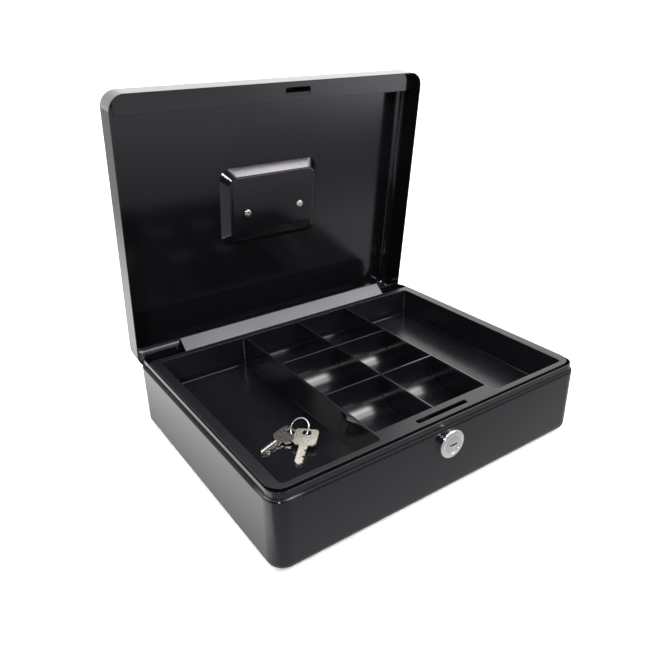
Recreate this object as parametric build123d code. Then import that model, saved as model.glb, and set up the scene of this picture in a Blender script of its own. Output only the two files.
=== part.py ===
"""Lockable steel cash box, about 300 x 236 x 86 mm closed, with a lift-out coin tray.

A drawn steel base with a stepped-in neck, a shallow drawn lid that laps the neck, a
long swan-neck hinge across the back, a moulded coin tray on two rests, a quarter-turn
cam lock in the front wall and a folding carry handle in a well in the lid.

Frame: X to the right, Y to the back, Z up, millimetres. Origin: the middle of the flat
underside. The lid and everything it carries are laid out closed, then turned about the
hinge rod to the open stop, which is the rest pose.
"""

import math
import os

from build123d import *

os.makedirs("parts", exist_ok=True)

# ---------------------------------------------------------------- driving dimensions
# body
WIDTH = 300.0  # outside, X
DEPTH = 236.0  # outside, Y
CORNER_R = 13.0  # plan radius of the upright corners
SHEET = 0.8  # steel sheet of base and lid
FOOT_R = 6.0  # rounding where the walls meet the underside
SHOULDER_Z = 58.6  # top of the base wall, where the neck steps in
SHOULDER_R = 1.9
NECK_INSET = 2.0
NECK_TOP = 64.0
NOTCH_Z = 61.0  # neck cut down to here for the hinge
NOTCH_GAP = 5.0  # room past each end of the hinge leaves

# lid, closed
RIM_Z = 59.1
LID_TOP = 86.0
LID_R = 8.4  # rounding of the lid's top edge
OPEN_DEG = 83.6

# handle well in the lid
WELL_X, WELL_Y = -0.6, -6.6
WELL_W, WELL_D = 102.4, 72.6
WELL_R = 10.0
WELL_DEEP = 7.2
WELL_SLOPE = 7.8  # how far each wall leans in

# hinge
ROD_Y, ROD_Z = 112.8, 54.0
ROD_R = 1.5
ROD_FIT = 0.06
KNUCKLE_R = 2.6
LEAF_T = 1.0
LEAF_X0, LEAF_X1 = -110.0, 117.0
KNUCKLES = 7
KNUCKLE_GAP = 0.5
LEAF_PATH = [(116.7, 77.4), (116.7, 69.0), (97.2, 58.0), (104.5, 46.2)]

# latch strip inside the lid's front wall
STRIP_Z = 69.1
STRIP_IN = 17.3  # reach from the front wall
STRIP_T = 1.0
STRIP_SLOT = (5.5, 30.7, -111.1, -104.5)  # x0, x1, y0, y1

# coin tray
TRAY_TOP = 65.0
TRAY_X = 146.9
TRAY_Y0, TRAY_Y1 = -113.2, 98.5
RIM_T = 1.6
LIP_Z = 57.0
LIP_T = 1.5
TRAY_DEEP = 26.5
TRAY_WALL = 1.5
DRAFT = 2.0
CELL_X = (-55.7, 0.8, 57.4)  # divider middles
CELL_Y = (92.3, 28.0, -36.1, -98.7)
DIVIDER = 1.4
NOTE_X = 138.2  # outer side of the note compartments
NOTE_Y = -108.6
SCOOP_R = 19.0
REAR_R = 5.0  # the two rear cells have flat floors
TRAY_SLOT = (-22.5, 27.6, -108.9, -104.3)

# tray rests
REST_LEN = 170.0
REST_TOP = 57.0
REST_IN = 7.5
REST_TALL = 13.0

# lock
LOCK_X, LOCK_Z = 0.0, 45.3
BEZEL_R = 11.4
BEZEL_OUT = 5.2
DOME_R = 62.0  # the lock face is slightly domed
BARREL_R = 9.0
BARREL_FLAT = 8.0
BARREL_END = -109.5
PLUG_R = 6.3
PLUG_FIT = 0.05
CAM_Y0, CAM_Y1 = -107.35, -105.85
HOOK_R0, HOOK_R1 = 26.5, 31.5
HOOK_TIP, HOOK_ROOT = 7.0, -55.0  # degrees from +X, unlocked
TANG = 6.0

# handle
PIVOT_Y = -2.6
PIVOT_UP = 3.8  # pivot height over the well floor
MOUNT_X = 28.0  # screw spacing either side of the well's middle
LEG_X0, LEG_X1 = 34.6, 39.6
GRIP_Y0, GRIP_Y1 = -34.0, -26.8
BAIL_H = 6.0
PIN_R = 1.5

FRONT = -DEPTH / 2
BACK = DEPTH / 2
HINGE = Axis((0, ROD_Y, ROD_Z), (1, 0, 0))
WELL_FLOOR = LID_TOP - WELL_DEEP
PIVOT_Z = WELL_FLOOR + PIVOT_UP


# ---------------------------------------------------------------- small helpers
def slab(w, d, r, z0, z1, x=0.0, y=0.0):
    """An upright prism with rounded plan corners."""
    return Pos(x, y, z0) * extrude(RectangleRounded(w, d, r), amount=z1 - z0)


def block(x0, x1, y0, y1, z0, z1):
    return Pos((x0 + x1) / 2, (y0 + y1) / 2, (z0 + z1) / 2) * Box(
        x1 - x0, y1 - y0, z1 - z0
    )


def yz(sketch, x0, x1):
    """A sketch in the Y-Z plane pulled from x0 to x1."""
    return Pos(x0, 0, 0) * extrude(Plane.YZ * sketch, amount=x1 - x0)


def rod_x(r, x0, x1, y, z):
    return Pos((x0 + x1) / 2, y, z) * Rot(0, 90, 0) * Cylinder(r, x1 - x0)


def rod_y(r, y0, y1, x, z):
    return Pos(x, (y0 + y1) / 2, z) * Rot(90, 0, 0) * Cylinder(r, y1 - y0)


def rod_z(r, z0, z1, x, y):
    return Pos(x, y, (z0 + z1) / 2) * Cylinder(r, z1 - z0)


def strip(points, t):
    """A folded sheet section: straight runs of thickness t with rounded bends."""
    out = None
    for (ya, za), (yb, zb) in zip(points, points[1:]):
        run = math.hypot(yb - ya, zb - za)
        lean = math.degrees(math.atan2(zb - za, yb - ya))
        piece = Pos((ya + yb) / 2, (za + zb) / 2) * Rot(0, 0, lean) * Rectangle(run, t)
        out = piece if out is None else out + piece
    for y, z in points[1:-1]:
        out = out + Pos(y, z) * Circle(t / 2)
    return out


def opened(shape):
    """A lid piece turned from closed to the open stop."""
    return shape.rotate(HINGE, -OPEN_DEG)


def save(shape, name):
    shape.label = name
    export_step(shape, f"parts/{name}.step")
    box = shape.bounding_box()
    print(
        f"{name:18s} solids {len(shape.solids())} volume {shape.volume:10.1f}"
        f"  z {box.min.Z:7.2f} {box.max.Z:7.2f}"
    )


# ---------------------------------------------------------------- base shell
lower = slab(WIDTH, DEPTH, CORNER_R, 0, SHOULDER_Z)
lower = fillet(lower.edges().group_by(Axis.Z)[0], FOOT_R)
lower = fillet(lower.edges().group_by(Axis.Z)[-1], SHOULDER_R)
neck = slab(
    WIDTH - 2 * NECK_INSET,
    DEPTH - 2 * NECK_INSET,
    CORNER_R - NECK_INSET,
    SHOULDER_Z - 1,
    NECK_TOP,
)
hollow = slab(
    WIDTH - 2 * SHEET,
    DEPTH - 2 * SHEET,
    CORNER_R - SHEET,
    SHEET,
    SHOULDER_Z - SHEET,
)
hollow = fillet(hollow.edges().group_by(Axis.Z)[0], FOOT_R - SHEET)
hollow = fillet(hollow.edges().group_by(Axis.Z)[-1], SHOULDER_R - SHEET)
throat_in = NECK_INSET + SHEET
throat = slab(
    WIDTH - 2 * throat_in,
    DEPTH - 2 * throat_in,
    CORNER_R - throat_in,
    SHOULDER_Z - 10,
    NECK_TOP + 1,
)
base = lower + neck - hollow - throat
base -= block(
    LEAF_X0 - NOTCH_GAP, LEAF_X1 + NOTCH_GAP, BACK - 8, BACK + 2, NOTCH_Z, NECK_TOP + 2
)
lock_hole = rod_y(BARREL_R + 0.12, FRONT - 5, FRONT + 5, LOCK_X, LOCK_Z) & block(
    LOCK_X - BARREL_FLAT - 0.12,
    LOCK_X + BARREL_FLAT + 0.12,
    FRONT - 6,
    FRONT + 6,
    LOCK_Z - 12,
    LOCK_Z + 12,
)
base -= lock_hole
save(base, "base_shell")

# ---------------------------------------------------------------- tray rests
wall_in = WIDTH / 2 - SHEET
rest = block(
    wall_in - SHEET, wall_in, -REST_LEN / 2, REST_LEN / 2, REST_TOP - REST_TALL, REST_TOP
) + block(
    wall_in - REST_IN, wall_in, -REST_LEN / 2, REST_LEN / 2, REST_TOP - SHEET, REST_TOP
)
rest = fillet(
    rest.edges().filter_by(Axis.Y).group_by(Axis.X)[-1].group_by(Axis.Z)[-1], 0.6
)
save(rest, "tray_rest_right")
save(mirror(rest, Plane.YZ), "tray_rest_left")

# ---------------------------------------------------------------- hinge
pitch = (LEAF_X1 - LEAF_X0) / KNUCKLES


def knuckle_span(i):
    x0 = LEAF_X0 + i * pitch + (KNUCKLE_GAP / 2 if i else 0)
    x1 = LEAF_X0 + (i + 1) * pitch - (KNUCKLE_GAP / 2 if i < KNUCKLES - 1 else 0)
    return x0, x1


back_in = BACK - SHEET
base_leaf = block(LEAF_X0, LEAF_X1, back_in - LEAF_T, back_in, 28.0, 50.4)
for i in range(0, KNUCKLES, 2):
    x0, x1 = knuckle_span(i)
    base_leaf += block(
        x0, x1, back_in - LEAF_T, back_in, 50.0, ROD_Z - KNUCKLE_R + LEAF_T
    )
    base_leaf += block(
        x0, x1, ROD_Y, back_in, ROD_Z - KNUCKLE_R, ROD_Z - KNUCKLE_R + LEAF_T
    )
    base_leaf += rod_x(KNUCKLE_R, x0, x1, ROD_Y, ROD_Z)
base_leaf -= rod_x(ROD_R + ROD_FIT, LEAF_X0 - 1, LEAF_X1 + 1, ROD_Y, ROD_Z)
save(base_leaf, "hinge_base_leaf")

rod = rod_x(ROD_R, LEAF_X0 - 0.2, LEAF_X1 + 0.2, ROD_Y, ROD_Z)
rod += rod_x(2.2, LEAF_X0 - 1.2, LEAF_X0 - 0.1, ROD_Y, ROD_Z)
rod += rod_x(2.2, LEAF_X1 + 0.1, LEAF_X1 + 1.2, ROD_Y, ROD_Z)
save(rod, "hinge_rod")

# the moving leaf: weld flange on the lid's back wall, then forward over the notch, down
# behind the tray and back to the rod
cy, cz = LEAF_PATH[-1]
reach = math.hypot(ROD_Y - cy, ROD_Z - cz)
ty = ROD_Y + (ROD_Z - cz) / reach * (KNUCKLE_R - LEAF_T / 2)
tz = ROD_Z - (ROD_Y - cy) / reach * (KNUCKLE_R - LEAF_T / 2)
lid_leaf = yz(strip(LEAF_PATH + [(ty, tz)], LEAF_T), LEAF_X0, LEAF_X1)
for i in range(KNUCKLES):
    x0, x1 = knuckle_span(i)
    if i % 2:
        lid_leaf += rod_x(KNUCKLE_R, x0, x1, ROD_Y, ROD_Z)
    else:
        lid_leaf -= rod_x(
            KNUCKLE_R + 0.8,
            x0 - (KNUCKLE_GAP if i else 1),
            x1 + (KNUCKLE_GAP if i < KNUCKLES - 1 else 1),
            ROD_Y,
            ROD_Z,
        )
lid_leaf -= rod_x(ROD_R + ROD_FIT, LEAF_X0 - 1, LEAF_X1 + 1, ROD_Y, ROD_Z)
save(opened(lid_leaf), "hinge_lid_leaf")

# ---------------------------------------------------------------- lid shell
lid_out = slab(WIDTH, DEPTH, CORNER_R, RIM_Z, LID_TOP)
lid_out = fillet(lid_out.edges().group_by(Axis.Z)[-1], LID_R)
lid_in = slab(
    WIDTH - 2 * SHEET,
    DEPTH - 2 * SHEET,
    CORNER_R - SHEET,
    RIM_Z - 5,
    LID_TOP - SHEET,
)
lid_in = fillet(lid_in.edges().group_by(Axis.Z)[-1], LID_R - SHEET)


def tub(grow, z_top, z_bottom):
    """The well as a tapered tub: grow is the extra size all round, for the under side."""
    slope = WELL_SLOPE / WELL_DEEP
    top_in = -grow + slope * (LID_TOP - z_top)
    low_in = -grow + slope * (LID_TOP - z_bottom)
    if grow:
        low_in = -grow + slope * (LID_TOP - z_bottom - SHEET)
    return loft(
        [
            Pos(WELL_X, WELL_Y, z)
            * RectangleRounded(
                WELL_W - 2 * inn, WELL_D - 2 * inn, WELL_R - 0.35 * inn
            )
            for z, inn in ((z_top, top_in), (z_bottom, low_in))
        ]
    )


well_top = LID_TOP + 0.5
well = tub(0, well_top, WELL_FLOOR)
well = fillet(well.edges().group_by(Axis.Z)[0], 1.6)
boss = tub(1.0, LID_TOP - 0.2, WELL_FLOOR - SHEET)
boss = fillet(boss.edges().group_by(Axis.Z)[0], 2.4)
lid = lid_out - (lid_in - boss) - well
for side in (-1, 1):
    lid -= rod_z(
        2.0, WELL_FLOOR - 3, WELL_FLOOR + 1, WELL_X + side * MOUNT_X, PIVOT_Y
    )
save(opened(lid), "lid_shell")

# ---------------------------------------------------------------- latch strip
front_in = FRONT + SHEET
plate = (
    slab(
        WIDTH - 2 * SHEET - 0.4,
        DEPTH - 2 * SHEET - 0.4,
        CORNER_R - SHEET - 0.2,
        STRIP_Z,
        STRIP_Z + STRIP_T,
    )
    & block(-144.0, 149.5, FRONT, front_in + STRIP_IN, STRIP_Z - 1, STRIP_Z + 3)
)
sx0, sx1, sy0, sy1 = STRIP_SLOT
plate -= slab(
    sx1 - sx0,
    sy1 - sy0,
    1.5,
    STRIP_Z - 1,
    STRIP_Z + 3,
    (sx0 + sx1) / 2,
    (sy0 + sy1) / 2,
)
latch = plate + block(-130, 130, front_in, front_in + STRIP_T, STRIP_Z, STRIP_Z + 8.4)
save(opened(latch), "latch_strip")

# ---------------------------------------------------------------- coin tray
rim_w, rim_d = 2 * TRAY_X, TRAY_Y1 - TRAY_Y0
rim_y = (TRAY_Y0 + TRAY_Y1) / 2


def rim_slab(inset, z0, z1):
    front = slab(
        rim_w - 2 * inset, rim_d - 2 * inset, 12.0 - inset, z0, z1, 0, rim_y
    )
    rear = slab(rim_w - 2 * inset, 60, 4.0 - inset * 0.5, z0, z1, 0, TRAY_Y1 - inset - 30)
    return front + rear


tray = rim_slab(0, TRAY_TOP - RIM_T, TRAY_TOP)
lip = rim_slab(0, LIP_Z, TRAY_TOP - 0.2) - rim_slab(LIP_T, LIP_Z - 1, TRAY_TOP)
# the lip is left off along the back, where the hinge leaf swings
lip -= block(-TRAY_X + 3, TRAY_X - 3, 60, TRAY_Y1 + 5, LIP_Z - 2, TRAY_TOP - RIM_T)
lip -= block(-TRAY_X - 5, TRAY_X + 5, 84, TRAY_Y1 + 5, LIP_Z - 2, TRAY_TOP - RIM_T)
tray += lip


def pocket(x0, x1, y0, y1, deep, r, draft=DRAFT, top=TRAY_TOP):
    """A drafted tub sunk from the tray's top face."""
    return Pos((x0 + x1) / 2, (y0 + y1) / 2, top) * extrude(
        RectangleRounded(x1 - x0, y1 - y0, r), amount=-deep, taper=draft
    )


half = DIVIDER / 2
note_l = (-NOTE_X, CELL_X[0] - half, NOTE_Y, CELL_Y[0])
note_r = (CELL_X[2] + half, NOTE_X, NOTE_Y, CELL_Y[0])
w = TRAY_WALL
for x0, x1, y0, y1 in (note_l, note_r):
    tub_out = pocket(x0 - w, x1 + w, y0 - w, y1 + w, TRAY_DEEP + w, 5.5)
    tray += fillet(tub_out.edges().group_by(Axis.Z)[0], 3.0)
tray += block(
    CELL_X[0] - half, CELL_X[2] + half, CELL_Y[3] - w, CELL_Y[0] + w, 40, TRAY_TOP - 0.5
)
cell_low = TRAY_TOP - TRAY_DEEP
tray += block(
    CELL_X[0], CELL_X[2], CELL_Y[3] - w + 1, CELL_Y[0] + w - 1, cell_low - w, 42
)
for x0, x1, y0, y1 in (note_l, note_r):
    room = pocket(x0, x1, y0, y1, TRAY_DEEP, 4.0)
    tray -= fillet(room.edges().group_by(Axis.Z)[0], 1.3)
for i in range(2):
    for j in range(3):
        x0, x1 = CELL_X[i] + half, CELL_X[i + 1] - half
        y1, y0 = CELL_Y[j] - (half if j else 0), CELL_Y[j + 1] + (half if j < 2 else 0)
        # a scoop: straight walls above, both ends rounded into the floor
        cell = yz(
            Pos((y0 + y1) / 2, (cell_low + TRAY_TOP + 1) / 2)
            * Rectangle(y1 - y0, TRAY_TOP + 1 - cell_low),
            x0,
            x1,
        )
        cell = fillet(
            cell.edges().filter_by(Axis.X).group_by(Axis.Z)[0],
            SCOOP_R if j else REAR_R,
        )
        cell = fillet(cell.edges().filter_by(Axis.Z), 0.5)
        tray -= cell
tx0, tx1, ty0, ty1 = TRAY_SLOT
tray -= slab(
    tx1 - tx0, ty1 - ty0, 1.2, 60, TRAY_TOP + 1, (tx0 + tx1) / 2, (ty0 + ty1) / 2
)
save(tray, "coin_tray")

# ---------------------------------------------------------------- lock
bezel = rod_y(BEZEL_R, FRONT - BEZEL_OUT, FRONT, LOCK_X, LOCK_Z)
bezel = fillet(bezel.edges().group_by(Axis.Y)[0], 1.6)
bezel &= Pos(LOCK_X, FRONT - BEZEL_OUT + DOME_R, LOCK_Z) * Sphere(DOME_R)
barrel = rod_y(BARREL_R, FRONT - 0.5, BARREL_END, LOCK_X, LOCK_Z) & block(
    LOCK_X - BARREL_FLAT,
    LOCK_X + BARREL_FLAT,
    FRONT - 1,
    BARREL_END + 1,
    LOCK_Z - 12,
    LOCK_Z + 12,
)
housing = bezel + barrel
housing -= rod_y(PLUG_R + PLUG_FIT, FRONT - 6, BARREL_END + 1, LOCK_X, LOCK_Z)
housing -= rod_y(7.45, FRONT - 6, FRONT - BEZEL_OUT + 1.25, LOCK_X, LOCK_Z)
save(housing, "lock_housing")

nut = Pos(LOCK_X, front_in, LOCK_Z) * Rot(-90, 0, 0) * extrude(
    RegularPolygon(12.6, 6), amount=3.5
)
nut = nut - rod_y(BARREL_R + 0.02, front_in - 1, front_in + 5, LOCK_X, LOCK_Z)
save(nut, "lock_nut")

plug_face = FRONT - BEZEL_OUT + 0.1
plug = rod_y(PLUG_R, plug_face + 0.5, CAM_Y0 - 0.05, LOCK_X, LOCK_Z)
plug += rod_y(7.4, plug_face - 0.1, plug_face + 1.1, LOCK_X, LOCK_Z) & (
    Pos(LOCK_X, plug_face + DOME_R, LOCK_Z) * Sphere(DOME_R)
)
plug += block(
    LOCK_X - TANG / 2,
    LOCK_X + TANG / 2,
    CAM_Y0 - 0.5,
    CAM_Y1 - 0.05,
    LOCK_Z - TANG / 2,
    LOCK_Z + TANG / 2,
)
# keyway, level when unlocked
plug -= block(
    LOCK_X - 3.4, LOCK_X + 3.4, plug_face - 1, plug_face + 9.5, LOCK_Z - 0.95, LOCK_Z + 0.95
)
wafers = []
for k in range(4):
    wy = plug_face + 2.2 + 1.7 * k
    plug -= block(LOCK_X - 5.6, LOCK_X + 5.6, wy, wy + 0.9, LOCK_Z - 2.6, LOCK_Z + 2.6)
    wafer = block(
        LOCK_X - 5.5, LOCK_X + 5.5, wy + 0.05, wy + 0.85, LOCK_Z - 2.5, LOCK_Z + 2.5
    ) - block(LOCK_X - 3.6, LOCK_X + 3.9, wy - 1, wy + 2, LOCK_Z - 1.3, LOCK_Z + 1.3)
    wafers.append(wafer.solid())
plug -= rod_y(1.9, -112.4, CAM_Y1 + 1, LOCK_X, LOCK_Z)
save(plug, "lock_plug")
save(Compound(children=wafers), "lock_wafers")


def ring_sector(r0, r1, a0, a1):
    """A flat arc band as a sketch, angles from +X toward +Z."""
    band = Circle(r1) - Circle(r0)
    pts = [(0, 0)]
    n = 6
    for k in range(n + 1):
        a = math.radians(a0 + (a1 - a0) * k / n)
        pts.append((2 * r1 * math.cos(a), 2 * r1 * math.sin(a)))
    return band & make_face(Polyline(*pts, close=True))


mid_r = (HOOK_R0 + HOOK_R1) / 2
cam_flat = ring_sector(HOOK_R0, HOOK_R1, HOOK_ROOT - 5, HOOK_TIP)
tip = math.radians(HOOK_TIP)
cam_flat += Pos(mid_r * math.cos(tip), mid_r * math.sin(tip)) * Circle(
    (HOOK_R1 - HOOK_R0) / 2
)
cam_flat += (
    Rot(0, 0, HOOK_ROOT) * Pos(mid_r / 2, 0) * Rectangle(mid_r + 2 * 0.5, 7.0)
)
cam_flat += Circle(8.0)
cam_flat -= Rectangle(TANG + 0.1, TANG + 0.1)
# Plane with local x = X, local y = Z and its normal toward the front
cam_plane = Plane(origin=(LOCK_X, CAM_Y1, LOCK_Z), x_dir=(1, 0, 0), z_dir=(0, -1, 0))
cam = extrude(cam_plane * cam_flat, amount=CAM_Y1 - CAM_Y0)
save(cam, "lock_cam")

cam_screw = rod_y(4.6, CAM_Y1, CAM_Y1 + 1.9, LOCK_X, LOCK_Z)
cam_screw = fillet(cam_screw.edges().group_by(Axis.Y)[-1], 0.9)
cam_screw += rod_y(1.85, -112.0, CAM_Y1 + 0.5, LOCK_X, LOCK_Z)
for a in (0, 90):
    cam_screw -= (
        Pos(LOCK_X, CAM_Y1 + 1.7, LOCK_Z) * Rot(0, a, 0) * Box(4.4, 2.0, 0.9)
    )
save(cam_screw, "cam_screw")

# ---------------------------------------------------------------- carry handle
mounts, screws, pins = [], [], []
for side in (-1, 1):
    mx = WELL_X + side * MOUNT_X
    lo, hi = sorted((WELL_X + side * 22.0, WELL_X + side * 34.0))
    body = yz(
        Pos(PIVOT_Y, WELL_FLOOR + 1.5) * Rectangle(14.0, 3.0)
        + Pos(PIVOT_Y, PIVOT_Z) * Circle(3.4)
        + Pos(PIVOT_Y, WELL_FLOOR + 2.2) * Rectangle(6.8, 3.2),
        lo,
        hi,
    )
    body = body - rod_z(1.8, WELL_FLOOR - 1, WELL_FLOOR + 4.6, mx, PIVOT_Y)
    p_in, p_out = WELL_X + side * 30.2, WELL_X + side * LEG_X1
    a, b = sorted((p_in, p_out))
    body = body - rod_x(PIN_R, a, b, PIVOT_Y, PIVOT_Z)
    mounts.append(body.solid())
    pin = rod_x(PIN_R, a, b, PIVOT_Y, PIVOT_Z)
    ha, hb = sorted((WELL_X + side * (LEG_X1 + 0.15), WELL_X + side * (LEG_X1 + 1.0)))
    pin += rod_x(PIN_R, *sorted((p_out, WELL_X + side * (LEG_X1 + 0.5))), PIVOT_Y, PIVOT_Z)
    pin += rod_x(2.2, ha, hb, PIVOT_Y, PIVOT_Z)
    pins.append(pin.solid())
    floor_in = WELL_FLOOR - SHEET
    head = rod_z(3.3, floor_in - 2.3, floor_in, mx, PIVOT_Y)
    head = fillet(head.edges().group_by(Axis.Z)[0], 1.2)
    screw = head + rod_z(1.75, floor_in - 0.5, WELL_FLOOR + 4.2, mx, PIVOT_Y)
    for turn in (25, 115):
        screw -= (
            Pos(mx, PIVOT_Y, floor_in - 2.0) * Rot(0, 0, turn) * Box(3.6, 0.8, 2.0)
        )
    screws.append(screw.solid())
save(opened(Compound(children=mounts)), "handle_mounts")
save(opened(Compound(children=screws)), "handle_screws")
save(opened(Compound(children=pins)), "handle_pins")

z_lo, z_hi = PIVOT_Z - BAIL_H / 2, PIVOT_Z + BAIL_H / 2
outer_w = 2 * LEG_X1
bail = slab(
    outer_w, PIVOT_Y - GRIP_Y0, 7.0, z_lo, z_hi, WELL_X, (PIVOT_Y + GRIP_Y0) / 2
)
bail += block(
    WELL_X - LEG_X1, WELL_X + LEG_X1, PIVOT_Y - 10, PIVOT_Y, z_lo, z_hi
)
bail = fillet(
    bail.edges().filter_by(GeomType.LINE).filter_by(Axis.X).group_by(Axis.Y)[0], 2.4
)
inner = slab(
    2 * LEG_X0, 60, 5.0, z_lo - 1, z_hi + 1, WELL_X, GRIP_Y1 + 30
)
bail -= inner
for side in (-1, 1):
    a, b = sorted((WELL_X + side * LEG_X0, WELL_X + side * LEG_X1))
    bail += rod_x(BAIL_H / 2, a, b, PIVOT_Y, PIVOT_Z)
bail -= rod_x(PIN_R + 0.06, WELL_X - 60, WELL_X + 60, PIVOT_Y, PIVOT_Z)
save(opened(bail), "handle_bail")

# ---------------------------------------------------------------- keys on their ring
KEY_T = 1.6
KEY_GAP = 0.02
BOW_L, BOW_W = 17.0, 18.0
BLADE = 17.2
SLOT_OFF = -4.4  # bow slot from the bow's middle, away from the blade
KEY_A = (-89.3, -34.6, 196.0, 3.0)  # bow middle x, y, heading of the blade, tilt
KEY_B = (-81.7, -49.6, 225.0, 9.4)
KEY_A_UP = 1.45
KEY_B_UP = 4.6
RING_R, WIRE_R = 8.3, 0.55
RING_LEAN = 46.0
floor_z = TRAY_TOP - TRAY_DEEP


def key_flat():
    """A flat key: bow about the origin, blade along +X."""
    c, e = 1.8, 2.8
    bl, bw = BOW_L / 2, BOW_W / 2
    flat = make_face(
        Polyline(
            (-bl, -bw + c), (-bl + c, -bw), (bl - e, -bw), (bl, -bw + e),
            (bl, bw - e), (bl - e, bw), (-bl + c, bw), (-bl, bw - c), close=True,
        )
    )
    flat += Pos(bl + BLADE / 2, 0) * Rectangle(BLADE, 6.4)
    tip_x = bl + BLADE
    flat += make_face(
        Polyline(
            (tip_x - 0.5, -3.2), (tip_x + 2.3, -0.4), (tip_x + 2.3, 0.4),
            (tip_x - 0.5, 3.2), close=True,
        )
    )
    for k, cut in enumerate((1.5, 0.8, 1.9, 1.1)):
        cx = bl + 5.6 + 3.2 * k
        flat -= make_face(
            Polyline(
                (cx - 1.7, 3.4), (cx - 0.5, 3.2 - cut), (cx + 0.5, 3.2 - cut),
                (cx + 1.7, 3.4), close=True,
            )
        )
    flat -= Pos(SLOT_OFF, 0) * Rot(0, 0, 90) * RectangleRounded(7.2, 4.8, 1.8)
    return flat


def make_key(place, up):
    body = extrude(key_flat(), amount=KEY_T)
    body -= Pos(BOW_L / 2 + 11.5, -0.9, KEY_T) * Box(19.0, 1.0, 0.6)
    x, y, turn, tilt = place
    spot = Pos(x, y, floor_z + KEY_GAP + up) * Rot(0, 0, turn) * Rot(0, tilt, 0)
    return spot * body, (spot * Pos(SLOT_OFF, 0, KEY_T / 2)).position


key_a, eye_a = make_key(KEY_A, KEY_A_UP)
key_b, eye_b = make_key(KEY_B, KEY_B_UP)
save(key_a, "key_a")
save(key_b, "key_b")

# the ring runs through both bow slots and leans up from the line between them
pa, pb = eye_a, eye_b
chord = (pb - pa).normalized()
level = chord.cross(Vector(0, 0, 1)).normalized()
if level.X < 0:
    level = level * -1
rise = level.cross(chord).normalized()
if rise.Z < 0:
    rise = rise * -1
lean = math.radians(RING_LEAN)
out_dir = level * math.cos(lean) + rise * math.sin(lean)
offset = math.sqrt(RING_R**2 - ((pb - pa).length / 2) ** 2)
centre = (pa + pb) * 0.5 + out_dir * offset
normal = chord.cross(out_dir)
ring = Plane(origin=centre, x_dir=chord, z_dir=normal) * Torus(RING_R, WIRE_R)
save(ring, "key_ring")
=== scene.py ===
import math

import bpy
from mathutils import Matrix, Vector

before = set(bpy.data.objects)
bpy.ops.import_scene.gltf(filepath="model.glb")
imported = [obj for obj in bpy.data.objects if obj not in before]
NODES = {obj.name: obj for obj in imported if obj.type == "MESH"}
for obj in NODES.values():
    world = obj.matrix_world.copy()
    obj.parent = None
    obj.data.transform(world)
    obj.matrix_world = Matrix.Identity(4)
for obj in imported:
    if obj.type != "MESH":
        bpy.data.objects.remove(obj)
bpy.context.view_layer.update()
SCENE = bpy.context.scene


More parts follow.
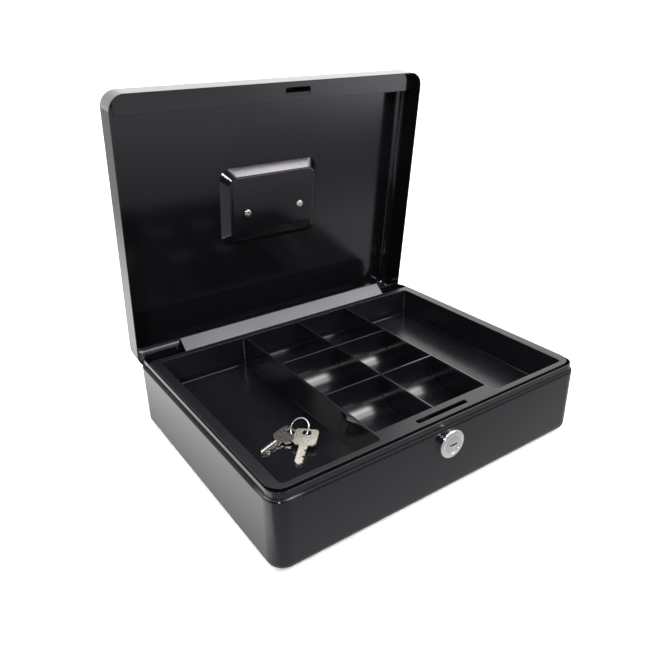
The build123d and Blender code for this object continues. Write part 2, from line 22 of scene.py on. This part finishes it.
# ------------------------------------------------------------------ node helpers
class Tree:
    """A small helper to lay out a material's shader nodes."""

    def __init__(self, name):
        self.mat = bpy.data.materials.new(name)
        self.mat.use_nodes = True
        self.nt = self.mat.node_tree
        self.nt.nodes.clear()
        self.out = self.add("ShaderNodeOutputMaterial")
        self.tex = self.add("ShaderNodeTexCoord")

    def add(self, kind, **props):
        n = self.nt.nodes.new(kind)
        for k, v in props.items():
            setattr(n, k, v)
        return n

    def link(self, a, b):
        self.nt.links.new(a, b)

    def put(self, socket, value):
        if isinstance(value, bpy.types.NodeSocket):
            self.link(value, socket)
        else:
            socket.default_value = value

    def stretch(self, scale):
        m = self.add("ShaderNodeMapping")
        self.link(self.tex.outputs["Object"], m.inputs["Vector"])
        m.inputs["Scale"].default_value = scale
        return m.outputs["Vector"]

    def noise(self, scale, detail=3.0, rough=0.5, vector=None, distortion=0.0):
        n = self.add("ShaderNodeTexNoise")
        self.link(vector or self.tex.outputs["Object"], n.inputs["Vector"])
        n.inputs["Scale"].default_value = scale
        n.inputs["Detail"].default_value = detail
        n.inputs["Roughness"].default_value = rough
        n.inputs["Distortion"].default_value = distortion
        return n.outputs["Fac"]

    def cells(self, scale, vector=None):
        n = self.add("ShaderNodeTexVoronoi")
        self.link(vector or self.tex.outputs["Object"], n.inputs["Vector"])
        n.inputs["Scale"].default_value = scale
        return n.outputs["Distance"]

    def ramp(self, value, lo, hi, out_lo=0.0, out_hi=1.0):
        n = self.add("ShaderNodeMapRange")
        n.clamp = True
        self.put(n.inputs["Value"], value)
        n.inputs["From Min"].default_value = lo
        n.inputs["From Max"].default_value = hi
        n.inputs["To Min"].default_value = out_lo
        n.inputs["To Max"].default_value = out_hi
        return n.outputs["Result"]

    def math(self, op, a, b=0.0):
        n = self.add("ShaderNodeMath", operation=op)
        self.put(n.inputs[0], a)
        self.put(n.inputs[1], b)
        return n.outputs[0]

    def mix(self, fac, a, b):
        n = self.add("ShaderNodeMix", data_type="RGBA")
        self.put(n.inputs["Factor"], fac)
        self.put(n.inputs["A"], a if isinstance(a, bpy.types.NodeSocket) else (*a, 1))
        self.put(n.inputs["B"], b if isinstance(b, bpy.types.NodeSocket) else (*b, 1))
        return n.outputs["Result"]

    def bevel(self, radius):
        n = self.add("ShaderNodeBevel", samples=4)
        n.inputs["Radius"].default_value = radius
        return n.outputs["Normal"]

    def edge(self, soft_normal, lo=0.01, hi=0.12):
        """1 along outside and inside edges, 0 on flat faces."""
        geo = self.add("ShaderNodeNewGeometry")
        dot = self.add("ShaderNodeVectorMath", operation="DOT_PRODUCT")
        self.link(geo.outputs["Normal"], dot.inputs[0])
        self.link(soft_normal, dot.inputs[1])
        away = self.math("SUBTRACT", 1.0, dot.outputs["Value"])
        return self.ramp(away, lo, hi)

    def bump(self, height, distance, strength=1.0, normal=None):
        n = self.add("ShaderNodeBump")
        self.put(n.inputs["Height"], height)
        n.inputs["Distance"].default_value = distance
        n.inputs["Strength"].default_value = strength
        if normal is not None:
            self.link(normal, n.inputs["Normal"])
        return n.outputs["Normal"]

    def height(self):
        """Height over the underside, in metres."""
        n = self.add("ShaderNodeSeparateXYZ")
        self.link(self.tex.outputs["Object"], n.inputs[0])
        return n.outputs["Z"]

    def across(self):
        """Distance right of the middle, in metres."""
        n = self.add("ShaderNodeSeparateXYZ")
        self.link(self.tex.outputs["Object"], n.inputs[0])
        return n.outputs["X"]

    def axis(self, name):
        n = self.add("ShaderNodeSeparateXYZ")
        self.link(self.tex.outputs["Object"], n.inputs[0])
        return n.outputs[name]

    def pulse(self, value, a, b, soft=0.0002):
        """1 between a and b."""
        return self.math("MULTIPLY", self.ramp(value, a - soft, a + soft), self.ramp(value, b + soft, b - soft))

    def surface(self, color, rough, metallic=0.0, normal=None, ior=1.5, coat=0.0, coat_rough=0.05):
        p = self.shader = self.add("ShaderNodeBsdfPrincipled")
        self.put(p.inputs["Base Color"], color)
        self.put(p.inputs["Roughness"], rough)
        p.inputs["Metallic"].default_value = metallic
        p.inputs["IOR"].default_value = ior
        p.inputs["Coat Weight"].default_value = coat
        p.inputs["Coat Roughness"].default_value = coat_rough
        if normal is not None:
            self.link(normal, p.inputs["Normal"])
            if coat:
                self.link(normal, p.inputs["Coat Normal"])
        self.link(p.outputs["BSDF"], self.out.inputs["Surface"])
        return self.mat


# ------------------------------------------------------------------ materials
def paint(name, base, flake, rough, peel=1.0, edge_r=0.0005, dull_band=None, well_floor=None):
    """Sprayed and baked paint on sheet steel: a fine orange peel, slow drifts in gloss,
    a slight oil-canning of the sheet and a few faint rub marks, with a lighter colour
    along the edges as a painted highlight. dull_band: two heights between which the paint
    is made rougher and its reflection is cut down, a painted shade along the stepped
    shoulder. well_floor: the x and z limits of a drawn floor that leans a little."""
    t = Tree(name)
    soft = t.bevel(edge_r)
    drift = t.noise(9.0, 2.0, 0.5)
    canning = t.noise(11.0, 1.0, 0.4)
    fine = t.noise(420.0, 3.0, 0.55)
    peel_h = t.noise(700.0, 2.0, 0.45)
    grit = t.noise(2600.0, 2.0, 0.6)
    rub = t.noise(34.0, 6.0, 0.62, t.stretch((1.0, 0.35, 1.6)), 0.6)
    rub = t.ramp(rub, 0.60, 0.78)
    rim = t.edge(soft)
    color = t.mix(t.ramp(fine, 0.3, 0.7), base, flake)
    # lighter colour along outside and inside edges: a painted edge highlight
    color = t.mix(t.math("MULTIPLY", rim, 0.35), color, tuple(min(1.0, c * 2.2 + 0.01) for c in base))
    r = t.ramp(drift, 0.3, 0.7, rough - 0.03, rough + 0.03)
    r = t.math("ADD", r, t.math("MULTIPLY", rub, 0.045))
    r = t.math("ADD", r, t.math("MULTIPLY", rim, 0.05))
    if well_floor:
        # the drawn floor of the handle well is not quite parallel with the panel
        x0, x1, z0, z1 = well_floor
        x, z = t.across(), t.height()
        spot = t.math("MULTIPLY", t.ramp(x, x0, x0 + 0.001), t.ramp(x, x1, x1 - 0.001))
        spot = t.math("MULTIPLY", spot, t.math("MULTIPLY", t.ramp(z, z0, z0 + 0.001), t.ramp(z, z1, z1 - 0.001)))
        up = t.add("ShaderNodeCombineXYZ")
        t.link(t.math("MULTIPLY", spot, 0.045), up.inputs["Z"])
        lean = t.add("ShaderNodeVectorMath", operation="ADD")
        t.link(soft, lean.inputs[0])
        t.link(up.outputs[0], lean.inputs[1])
        unit = t.add("ShaderNodeVectorMath", operation="NORMALIZE")
        t.link(lean.outputs[0], unit.inputs[0])
        soft = unit.outputs[0]
    n = t.bump(canning, 0.00034 * peel, 1.0, soft)
    n = t.bump(peel_h, 0.000010 * peel, 1.0, n)
    n = t.bump(grit, 0.0000015 * peel, 1.0, n)
    mat = t.surface(color, r, 0.0, n, 1.5)
    t.shader.inputs["Specular Tint"].default_value = (0.97, 0.92, 1.0, 1.0)
    if dull_band:
        lo, hi = dull_band
        z = t.height()
        band = t.math("MULTIPLY", t.ramp(z, lo - 0.0007, lo + 0.0003), t.ramp(z, hi + 0.0003, hi - 0.0003))
        corner = t.add("ShaderNodeVectorMath", operation="DISTANCE")
        t.link(t.tex.outputs["Object"], corner.inputs[0])
        corner.inputs[1].default_value = (-0.146, -0.114, 0.058)
        band = t.math("MULTIPLY", band, t.ramp(corner.outputs["Value"], 0.012, 0.022))
        # the band is made rougher and its reflection is cut down: a painted shade along the shoulder, kept off the
        # front left corner
        p = t.shader
        t.put(p.inputs["Roughness"], t.math("ADD", r, t.math("MULTIPLY", band, 0.35)))
        t.put(p.inputs["Specular IOR Level"], t.ramp(band, 0.0, 1.0, 0.5, 0.12))
    return mat


def moulded(name, base, lift, rough):
    """Injection-moulded polystyrene: glossy, with slow sink marks, faint flow lines and
    a little dust in the gloss."""
    t = Tree(name)
    geo = t.add("ShaderNodeNewGeometry")
    top = t.ramp(t.height(), 0.0628, 0.0640)
    blend = t.add("ShaderNodeMix", data_type="VECTOR")
    t.link(top, blend.inputs["Factor"])
    t.link(geo.outputs["Normal"], [i for i in blend.inputs if i.name == "A" and i.type == "VECTOR"][0])
    t.link(t.bevel(0.0006), [i for i in blend.inputs if i.name == "B" and i.type == "VECTOR"][0])
    soft = [o for o in blend.outputs if o.type == "VECTOR"][0]
    flow = t.noise(26.0, 4.0, 0.55, t.stretch((1.0, 0.45, 1.0)), 0.8)
    fine = t.noise(900.0, 2.0, 0.5)
    sink = t.noise(30.0, 2.0, 0.5)
    hair = t.noise(75.0, 7.0, 0.7, t.stretch((1.0, 14.0, 1.0)), 0.2)
    hair = t.ramp(hair, 0.66, 0.80)
    specks = t.cells(420.0)
    specks = t.ramp(specks, 0.10, 0.05)
    rim = t.edge(soft)
    color = t.mix(t.ramp(flow, 0.3, 0.7), base, lift)
    color = t.mix(t.math("MULTIPLY", specks, 0.10), color, (0.10, 0.10, 0.11))
    # lighter colour along outside and inside edges: a painted edge highlight
    color = t.mix(t.math("MULTIPLY", rim, 0.35), color, tuple(c * 2.4 + 0.01 for c in base))
    r = t.ramp(flow, 0.3, 0.7, rough - 0.03, rough + 0.04)
    r = t.math("ADD", r, t.math("MULTIPLY", hair, 0.07))
    r = t.math("ADD", r, t.math("MULTIPLY", specks, 0.18))
    # the rim and the divider tops are worn dull by hands and coins
    worn = t.ramp(t.height(), 0.06425, 0.06485)
    sharp = t.math("MULTIPLY", t.pulse(t.axis("X"), -0.0558, 0.0575), t.pulse(t.axis("Y"), -0.0970, 0.0915))
    r = t.math("ADD", r, t.math("MULTIPLY", worn, t.ramp(sharp, 0.0, 1.0, 0.13, -0.08)))
    # the tall wall beside the left compartment came off a polished core
    x = t.across()
    gloss = t.math("MULTIPLY", t.ramp(x, -0.0600, -0.0585), t.ramp(x, -0.0552, -0.0560))
    gloss = t.math("MULTIPLY", gloss, t.ramp(t.height(), 0.0640, 0.0630))
    r = t.math("MULTIPLY", r, t.ramp(gloss, 0.0, 1.0, 1.0, 0.15))
    n = t.bump(sink, 0.00002, 1.0, soft)
    n = t.bump(fine, 0.0000035, 1.0, n)
    mat = t.surface(color, r, 0.0, n, 1.5)
    # the reflection is cut down in the tight inside corners: a painted shade
    x, y, z = t.axis("X"), t.axis("Y"), t.height()
    corner_shade_mask = t.math("MULTIPLY", t.pulse(z, 0.03866, 0.0400, 0.0001), t.math("SUBTRACT", 1.0, t.pulse(x, -0.0565, 0.0582)))
    corner_shade_mask = t.math("MAXIMUM", corner_shade_mask, t.math("MULTIPLY", t.pulse(z, 0.03872, 0.0437, 0.0001), t.pulse(y, 0.0286, 0.0940)))
    for a, b in ((-0.0552, -0.0543), (-0.0006, 0.0003), (0.0013, 0.0022), (0.0560, 0.0569)):
        corner_shade_mask = t.math("MAXIMUM", corner_shade_mask, t.pulse(x, a, b))
    corner_shade_mask = t.math("MULTIPLY", corner_shade_mask, t.ramp(z, 0.0636, 0.0630))
    t.put(t.shader.inputs["Specular IOR Level"], t.ramp(corner_shade_mask, 0.0, 1.0, 0.5, 0.14))
    return mat


def plate(name, base, tint, rough, grain=(1.0, 1.0, 1.0), grain_scale=600.0, depth=0.000004, edge_r=0.00025):
    """Plated or bare metal with a directional grain."""
    t = Tree(name)
    soft = t.bevel(edge_r)
    g = t.noise(grain_scale, 4.0, 0.6, t.stretch(grain))
    cloud = t.noise(60.0, 3.0, 0.5)
    nick = t.noise(240.0, 6.0, 0.7)
    nick = t.ramp(nick, 0.63, 0.75)
    color = t.mix(t.ramp(cloud, 0.3, 0.7), base, tint)
    color = t.mix(t.math("MULTIPLY", nick, 0.25), color, tuple(c * 0.6 for c in tint))
    r = t.ramp(g, 0.3, 0.7, rough * 0.75, rough * 1.3)
    r = t.math("ADD", r, t.math("MULTIPLY", nick, 0.08))
    n = t.bump(g, depth, 1.0, soft)
    return t.surface(color, r, 1.0, n)


BLACK = paint("paint_black", (0.0040, 0.0038, 0.0048), (0.0056, 0.0053, 0.0068), 0.13)
LID = paint("paint_lid", (0.0040, 0.0038, 0.0048), (0.0056, 0.0053, 0.0068), 0.13, 1.0, 0.0005, None, (-0.0430, 0.0418, 0.1540, 0.2035))
SHELL = paint("paint_shell", (0.0040, 0.0038, 0.0048), (0.0056, 0.0053, 0.0068), 0.13, 1.0, 0.0005, (0.0566, 0.0592))
HINGE = paint("paint_hinge", (0.010, 0.010, 0.011), (0.014, 0.014, 0.015), 0.30, 1.3, 0.0003)
HANDLE = paint("paint_handle", (0.0062, 0.0060, 0.0066), (0.009, 0.009, 0.010), 0.24, 0.8, 0.0005)
TRAY = moulded("plastic_tray", (0.0048, 0.0044, 0.0062), (0.0066, 0.0061, 0.0084), 0.22)
CHROME = plate("chrome_bright", (0.90, 0.90, 0.91), (0.84, 0.84, 0.86), 0.07, (1, 1, 1), 900.0, 0.0000008, 0.0016)
PLUG = plate("chrome_plug", (0.80, 0.80, 0.81), (0.70, 0.70, 0.72), 0.16, (1, 1, 1), 1400.0, 0.0000014, 0.0002)
ZINC = plate("zinc_bright", (0.78, 0.78, 0.78), (0.66, 0.67, 0.69), 0.24, (1, 1, 1), 1500.0, 0.000003, 0.0002)
STEEL = plate("steel_zinc_dull", (0.56, 0.57, 0.58), (0.46, 0.47, 0.49), 0.34, (1, 6, 1), 700.0, 0.000004)
BRASS = plate("brass_strip", (0.74, 0.56, 0.25), (0.66, 0.48, 0.20), 0.30, (1, 8, 1), 900.0, 0.000003)
NICKEL = plate("nickel_key", (0.82, 0.77, 0.68), (0.70, 0.65, 0.56), 0.26, (1, 1, 1), 1100.0, 0.000004, 0.0002)
WIRE = plate("nickel_wire", (0.80, 0.77, 0.71), (0.66, 0.63, 0.58), 0.18, (1, 1, 1), 1500.0, 0.000002, 0.0001)

LOOKS = {
    "base_shell": SHELL,
    "tray_rest_left": BLACK,
    "tray_rest_right": BLACK,
    "lid_shell": LID,
    "latch_strip": BLACK,
    "hinge_base_leaf": HINGE,
    "hinge_lid_leaf": HINGE,
    "hinge_rod": STEEL,
    "coin_tray": TRAY,
    "lock_housing": CHROME,
    "lock_nut": ZINC,
    "lock_plug": PLUG,
    "lock_wafers": BRASS,
    "lock_cam": STEEL,
    "cam_screw": ZINC,
    "handle_mounts": HANDLE,
    "handle_screws": ZINC,
    "handle_pins": STEEL,
    "handle_bail": HANDLE,
    "key_a": NICKEL,
    "key_b": NICKEL,
    "key_ring": WIRE,
}
for name, node in NODES.items():
    node.data.materials.clear()
    node.data.materials.append(LOOKS[name])


# ------------------------------------------------------------------ floor, light, camera
LIGHTS = (
    (65.0, 57.0, 16.0, 27.0, 5.6),  # overhead soft box
    (54.5, 52.5, 3.5, 9.0, 8.0),  # its hot middle
    (35.0, 4.0, 8.0, 18.0, 2.2),  # window low in front, to the right
    (-36.5, 30.0, 3.0, 6.0, 80.0),  # small lamp beside the camera
    (-150.0, 53.0, 6.0, 14.0, 6.0),  # window behind, on the left
)


def floor():
    """A pale table top. For all rays but the camera's it glows, a painted light in place of what a lit table throws
    back at the object; the glow falls off toward the front and rises on the left, as in a light tent with its opening
    at the camera."""
    mesh = bpy.data.meshes.new("floor")
    s = 6.0
    mesh.from_pydata([(-s, -s, -0.0003), (s, -s, -0.0003), (s, s, -0.0003), (-s, s, -0.0003)], [], [(0, 1, 2, 3)])
    o = bpy.data.objects.new("floor", mesh)
    SCENE.collection.objects.link(o)
    t = Tree("floor_pale")
    grain = t.noise(3.0, 2.0, 0.5)
    color = t.mix(t.ramp(grain, 0.3, 0.7), (0.84, 0.84, 0.84), (0.86, 0.86, 0.86))
    t.surface(color, 0.7, 0.0)
    sep = t.add("ShaderNodeSeparateXYZ")
    t.link(t.tex.outputs["Object"], sep.inputs[0])
    x, y = sep.outputs["X"], sep.outputs["Y"]
    near = t.ramp(y, -0.23, -0.12, 0.42, FRONT_NEAR)
    far = t.ramp(y, -0.60, -0.30, 0.55, 0.0)
    front = t.math("ADD", near, far)
    right = t.math("MULTIPLY", t.ramp(y, -0.66, -0.46, 1.0, 0.0), t.ramp(x, 0.40, 0.80, 0.0, 1.6))
    front = t.math("ADD", front, right)
    # past the near left corner the painted glow drops to a tenth, as where the table runs out into the dark
    away = t.math("MULTIPLY", t.ramp(x, -0.30, -0.45), t.ramp(y, -0.24, -0.40))
    front = t.math("MULTIPLY", front, t.ramp(away, 0.0, 1.0, 1.0, 0.10))
    side = t.ramp(x, -0.190, -0.150, LEFT_FAR, LEFT_NEAR)
    side = t.math("MULTIPLY", side, t.ramp(x, -0.36, -0.24, 0.42, 1.0))
    back = t.ramp(y, -0.128, -0.112)
    glow = t.math("ADD", t.math("MULTIPLY", side, back), t.math("MULTIPLY", front, t.math("SUBTRACT", 1.0, back)))
    emit = t.add("ShaderNodeEmission")
    t.link(glow, emit.inputs["Strength"])
    path = t.add("ShaderNodeLightPath")
    both = t.add("ShaderNodeMixShader")
    lift = t.add("ShaderNodeEmission")
    lift.inputs["Strength"].default_value = 0.30
    seen = t.add("ShaderNodeAddShader")
    t.link(t.shader.outputs[0], seen.inputs[0])
    t.link(lift.outputs[0], seen.inputs[1])
    t.link(path.outputs["Is Camera Ray"], both.inputs[0])
    t.link(emit.outputs[0], both.inputs[1])
    t.link(seen.outputs[0], both.inputs[2])
    t.link(both.outputs[0], t.out.inputs["Surface"])
    mesh.materials.append(t.mat)
    return o


FRONT_NEAR, LEFT_FAR, LEFT_NEAR = 0.66, 1.85, 0.72
floor()


def toward(az, el):
    """Unit direction: az from the front (-Y) toward +X, el over the horizon, degrees."""
    a, e = math.radians(az), math.radians(el)
    return (math.sin(a) * math.cos(e), -math.cos(a) * math.cos(e), math.sin(e))


world = bpy.data.worlds.new("world")
SCENE.world = world
world.use_nodes = True
wt = world.node_tree
wt.nodes.clear()
w_out = wt.nodes.new("ShaderNodeOutputWorld")
w_tex = wt.nodes.new("ShaderNodeTexCoord")
w_sep = wt.nodes.new("ShaderNodeSeparateXYZ")
w_ramp = wt.nodes.new("ShaderNodeMapRange")
w_ramp.inputs["From Min"].default_value = -0.6
w_ramp.inputs["From Max"].default_value = 0.7
w_ramp.inputs["To Min"].default_value = 0.45
w_ramp.inputs["To Max"].default_value = 1.9
wt.links.new(w_tex.outputs["Generated"], w_sep.inputs[0])
wt.links.new(w_sep.outputs["Y"], w_ramp.inputs["Value"])
total = w_ramp.outputs["Result"]
# the dark opening the camera looks through
gap = wt.nodes.new("ShaderNodeVectorMath")
gap.operation = "DOT_PRODUCT"
wt.links.new(w_tex.outputs["Generated"], gap.inputs[0])
gap.inputs[1].default_value = toward(-46.0, 20.0)
shade = wt.nodes.new("ShaderNodeMapRange")
shade.interpolation_type = "SMOOTHSTEP"
shade.inputs["From Min"].default_value = math.cos(math.radians(46.0))
shade.inputs["From Max"].default_value = math.cos(math.radians(30.0))
shade.inputs["To Min"].default_value = 1.0
shade.inputs["To Max"].default_value = 0.06
wt.links.new(gap.outputs["Value"], shade.inputs["Value"])
dimmed = wt.nodes.new("ShaderNodeMath")
dimmed.operation = "MULTIPLY"
wt.links.new(total, dimmed.inputs[0])
wt.links.new(shade.outputs["Result"], dimmed.inputs[1])
total = dimmed.outputs[0]
# soft lights far off: azimuth, elevation, full radius, outer radius (degrees), radiance
for az, el, full, outer, power in LIGHTS:
    dot = wt.nodes.new("ShaderNodeVectorMath")
    dot.operation = "DOT_PRODUCT"
    wt.links.new(w_tex.outputs["Generated"], dot.inputs[0])
    dot.inputs[1].default_value = toward(az, el)
    fall = wt.nodes.new("ShaderNodeMapRange")
    fall.interpolation_type = "SMOOTHSTEP"
    fall.inputs["From Min"].default_value = math.cos(math.radians(outer))
    fall.inputs["From Max"].default_value = math.cos(math.radians(full))
    fall.inputs["To Min"].default_value = 0.0
    fall.inputs["To Max"].default_value = power
    wt.links.new(dot.outputs["Value"], fall.inputs["Value"])
    add = wt.nodes.new("ShaderNodeMath")
    add.operation = "ADD"
    wt.links.new(total, add.inputs[0])
    wt.links.new(fall.outputs["Result"], add.inputs[1])
    total = add.outputs[0]
w_path = wt.nodes.new("ShaderNodeLightPath")
w_dim = wt.nodes.new("ShaderNodeBackground")
w_white = wt.nodes.new("ShaderNodeBackground")
w_mix = wt.nodes.new("ShaderNodeMixShader")
w_dim.inputs["Color"].default_value = (1, 1, 1, 1)
w_white.inputs["Color"].default_value = (1, 1, 1, 1)
w_white.inputs["Strength"].default_value = 1.3
wt.links.new(total, w_dim.inputs["Strength"])
wt.links.new(w_path.outputs["Is Camera Ray"], w_mix.inputs[0])
wt.links.new(w_dim.outputs[0], w_mix.inputs[1])
wt.links.new(w_white.outputs[0], w_mix.inputs[2])
wt.links.new(w_mix.outputs[0], w_out.inputs[0])

# a near fill in front of the soft box, so that the light also falls off over the set
fill = bpy.data.lights.new("fill", "AREA")
fill.shape = "DISK"
fill.size = 1.1
fill.energy = 0.9 * math.pi * math.pi * 0.55**2
fill_o = bpy.data.objects.new("fill", fill)
SCENE.collection.objects.link(fill_o)
fill_o.location = Vector(toward(65.0, 57.0)) * 1.9
fill_o.rotation_euler = fill_o.location.to_track_quat("Z", "Y").to_euler()

cam = bpy.data.cameras.new("camera")
cam.sensor_width = 36.0
cam.sensor_fit = "HORIZONTAL"
cam.lens = 645.7535 / 650.0 * 36.0
cam.clip_start = 0.01
cam.clip_end = 50.0
cam_o = bpy.data.objects.new("camera", cam)
SCENE.collection.objects.link(cam_o)
rows = (
    (0.82417722, -0.56604415, -0.01805365),
    (-0.25278237, -0.33915819, -0.90613067),
    (0.50678692, 0.7513759, -0.42261244),
)
cam_o.matrix_world = Matrix(
    (
        (rows[0][0], -rows[1][0], -rows[2][0], -0.29556290),
        (rows[0][1], -rows[1][1], -rows[2][1], -0.39554895),
        (rows[0][2], -rows[1][2], -rows[2][2], 0.32675289),
        (0, 0, 0, 1),
    )
)
SCENE.camera = cam_o
SCENE.view_settings.view_transform = "Standard"
SCENE.view_settings.look = "None"
SCENE.view_settings.exposure = 0.0
SCENE.view_settings.gamma = 1.0
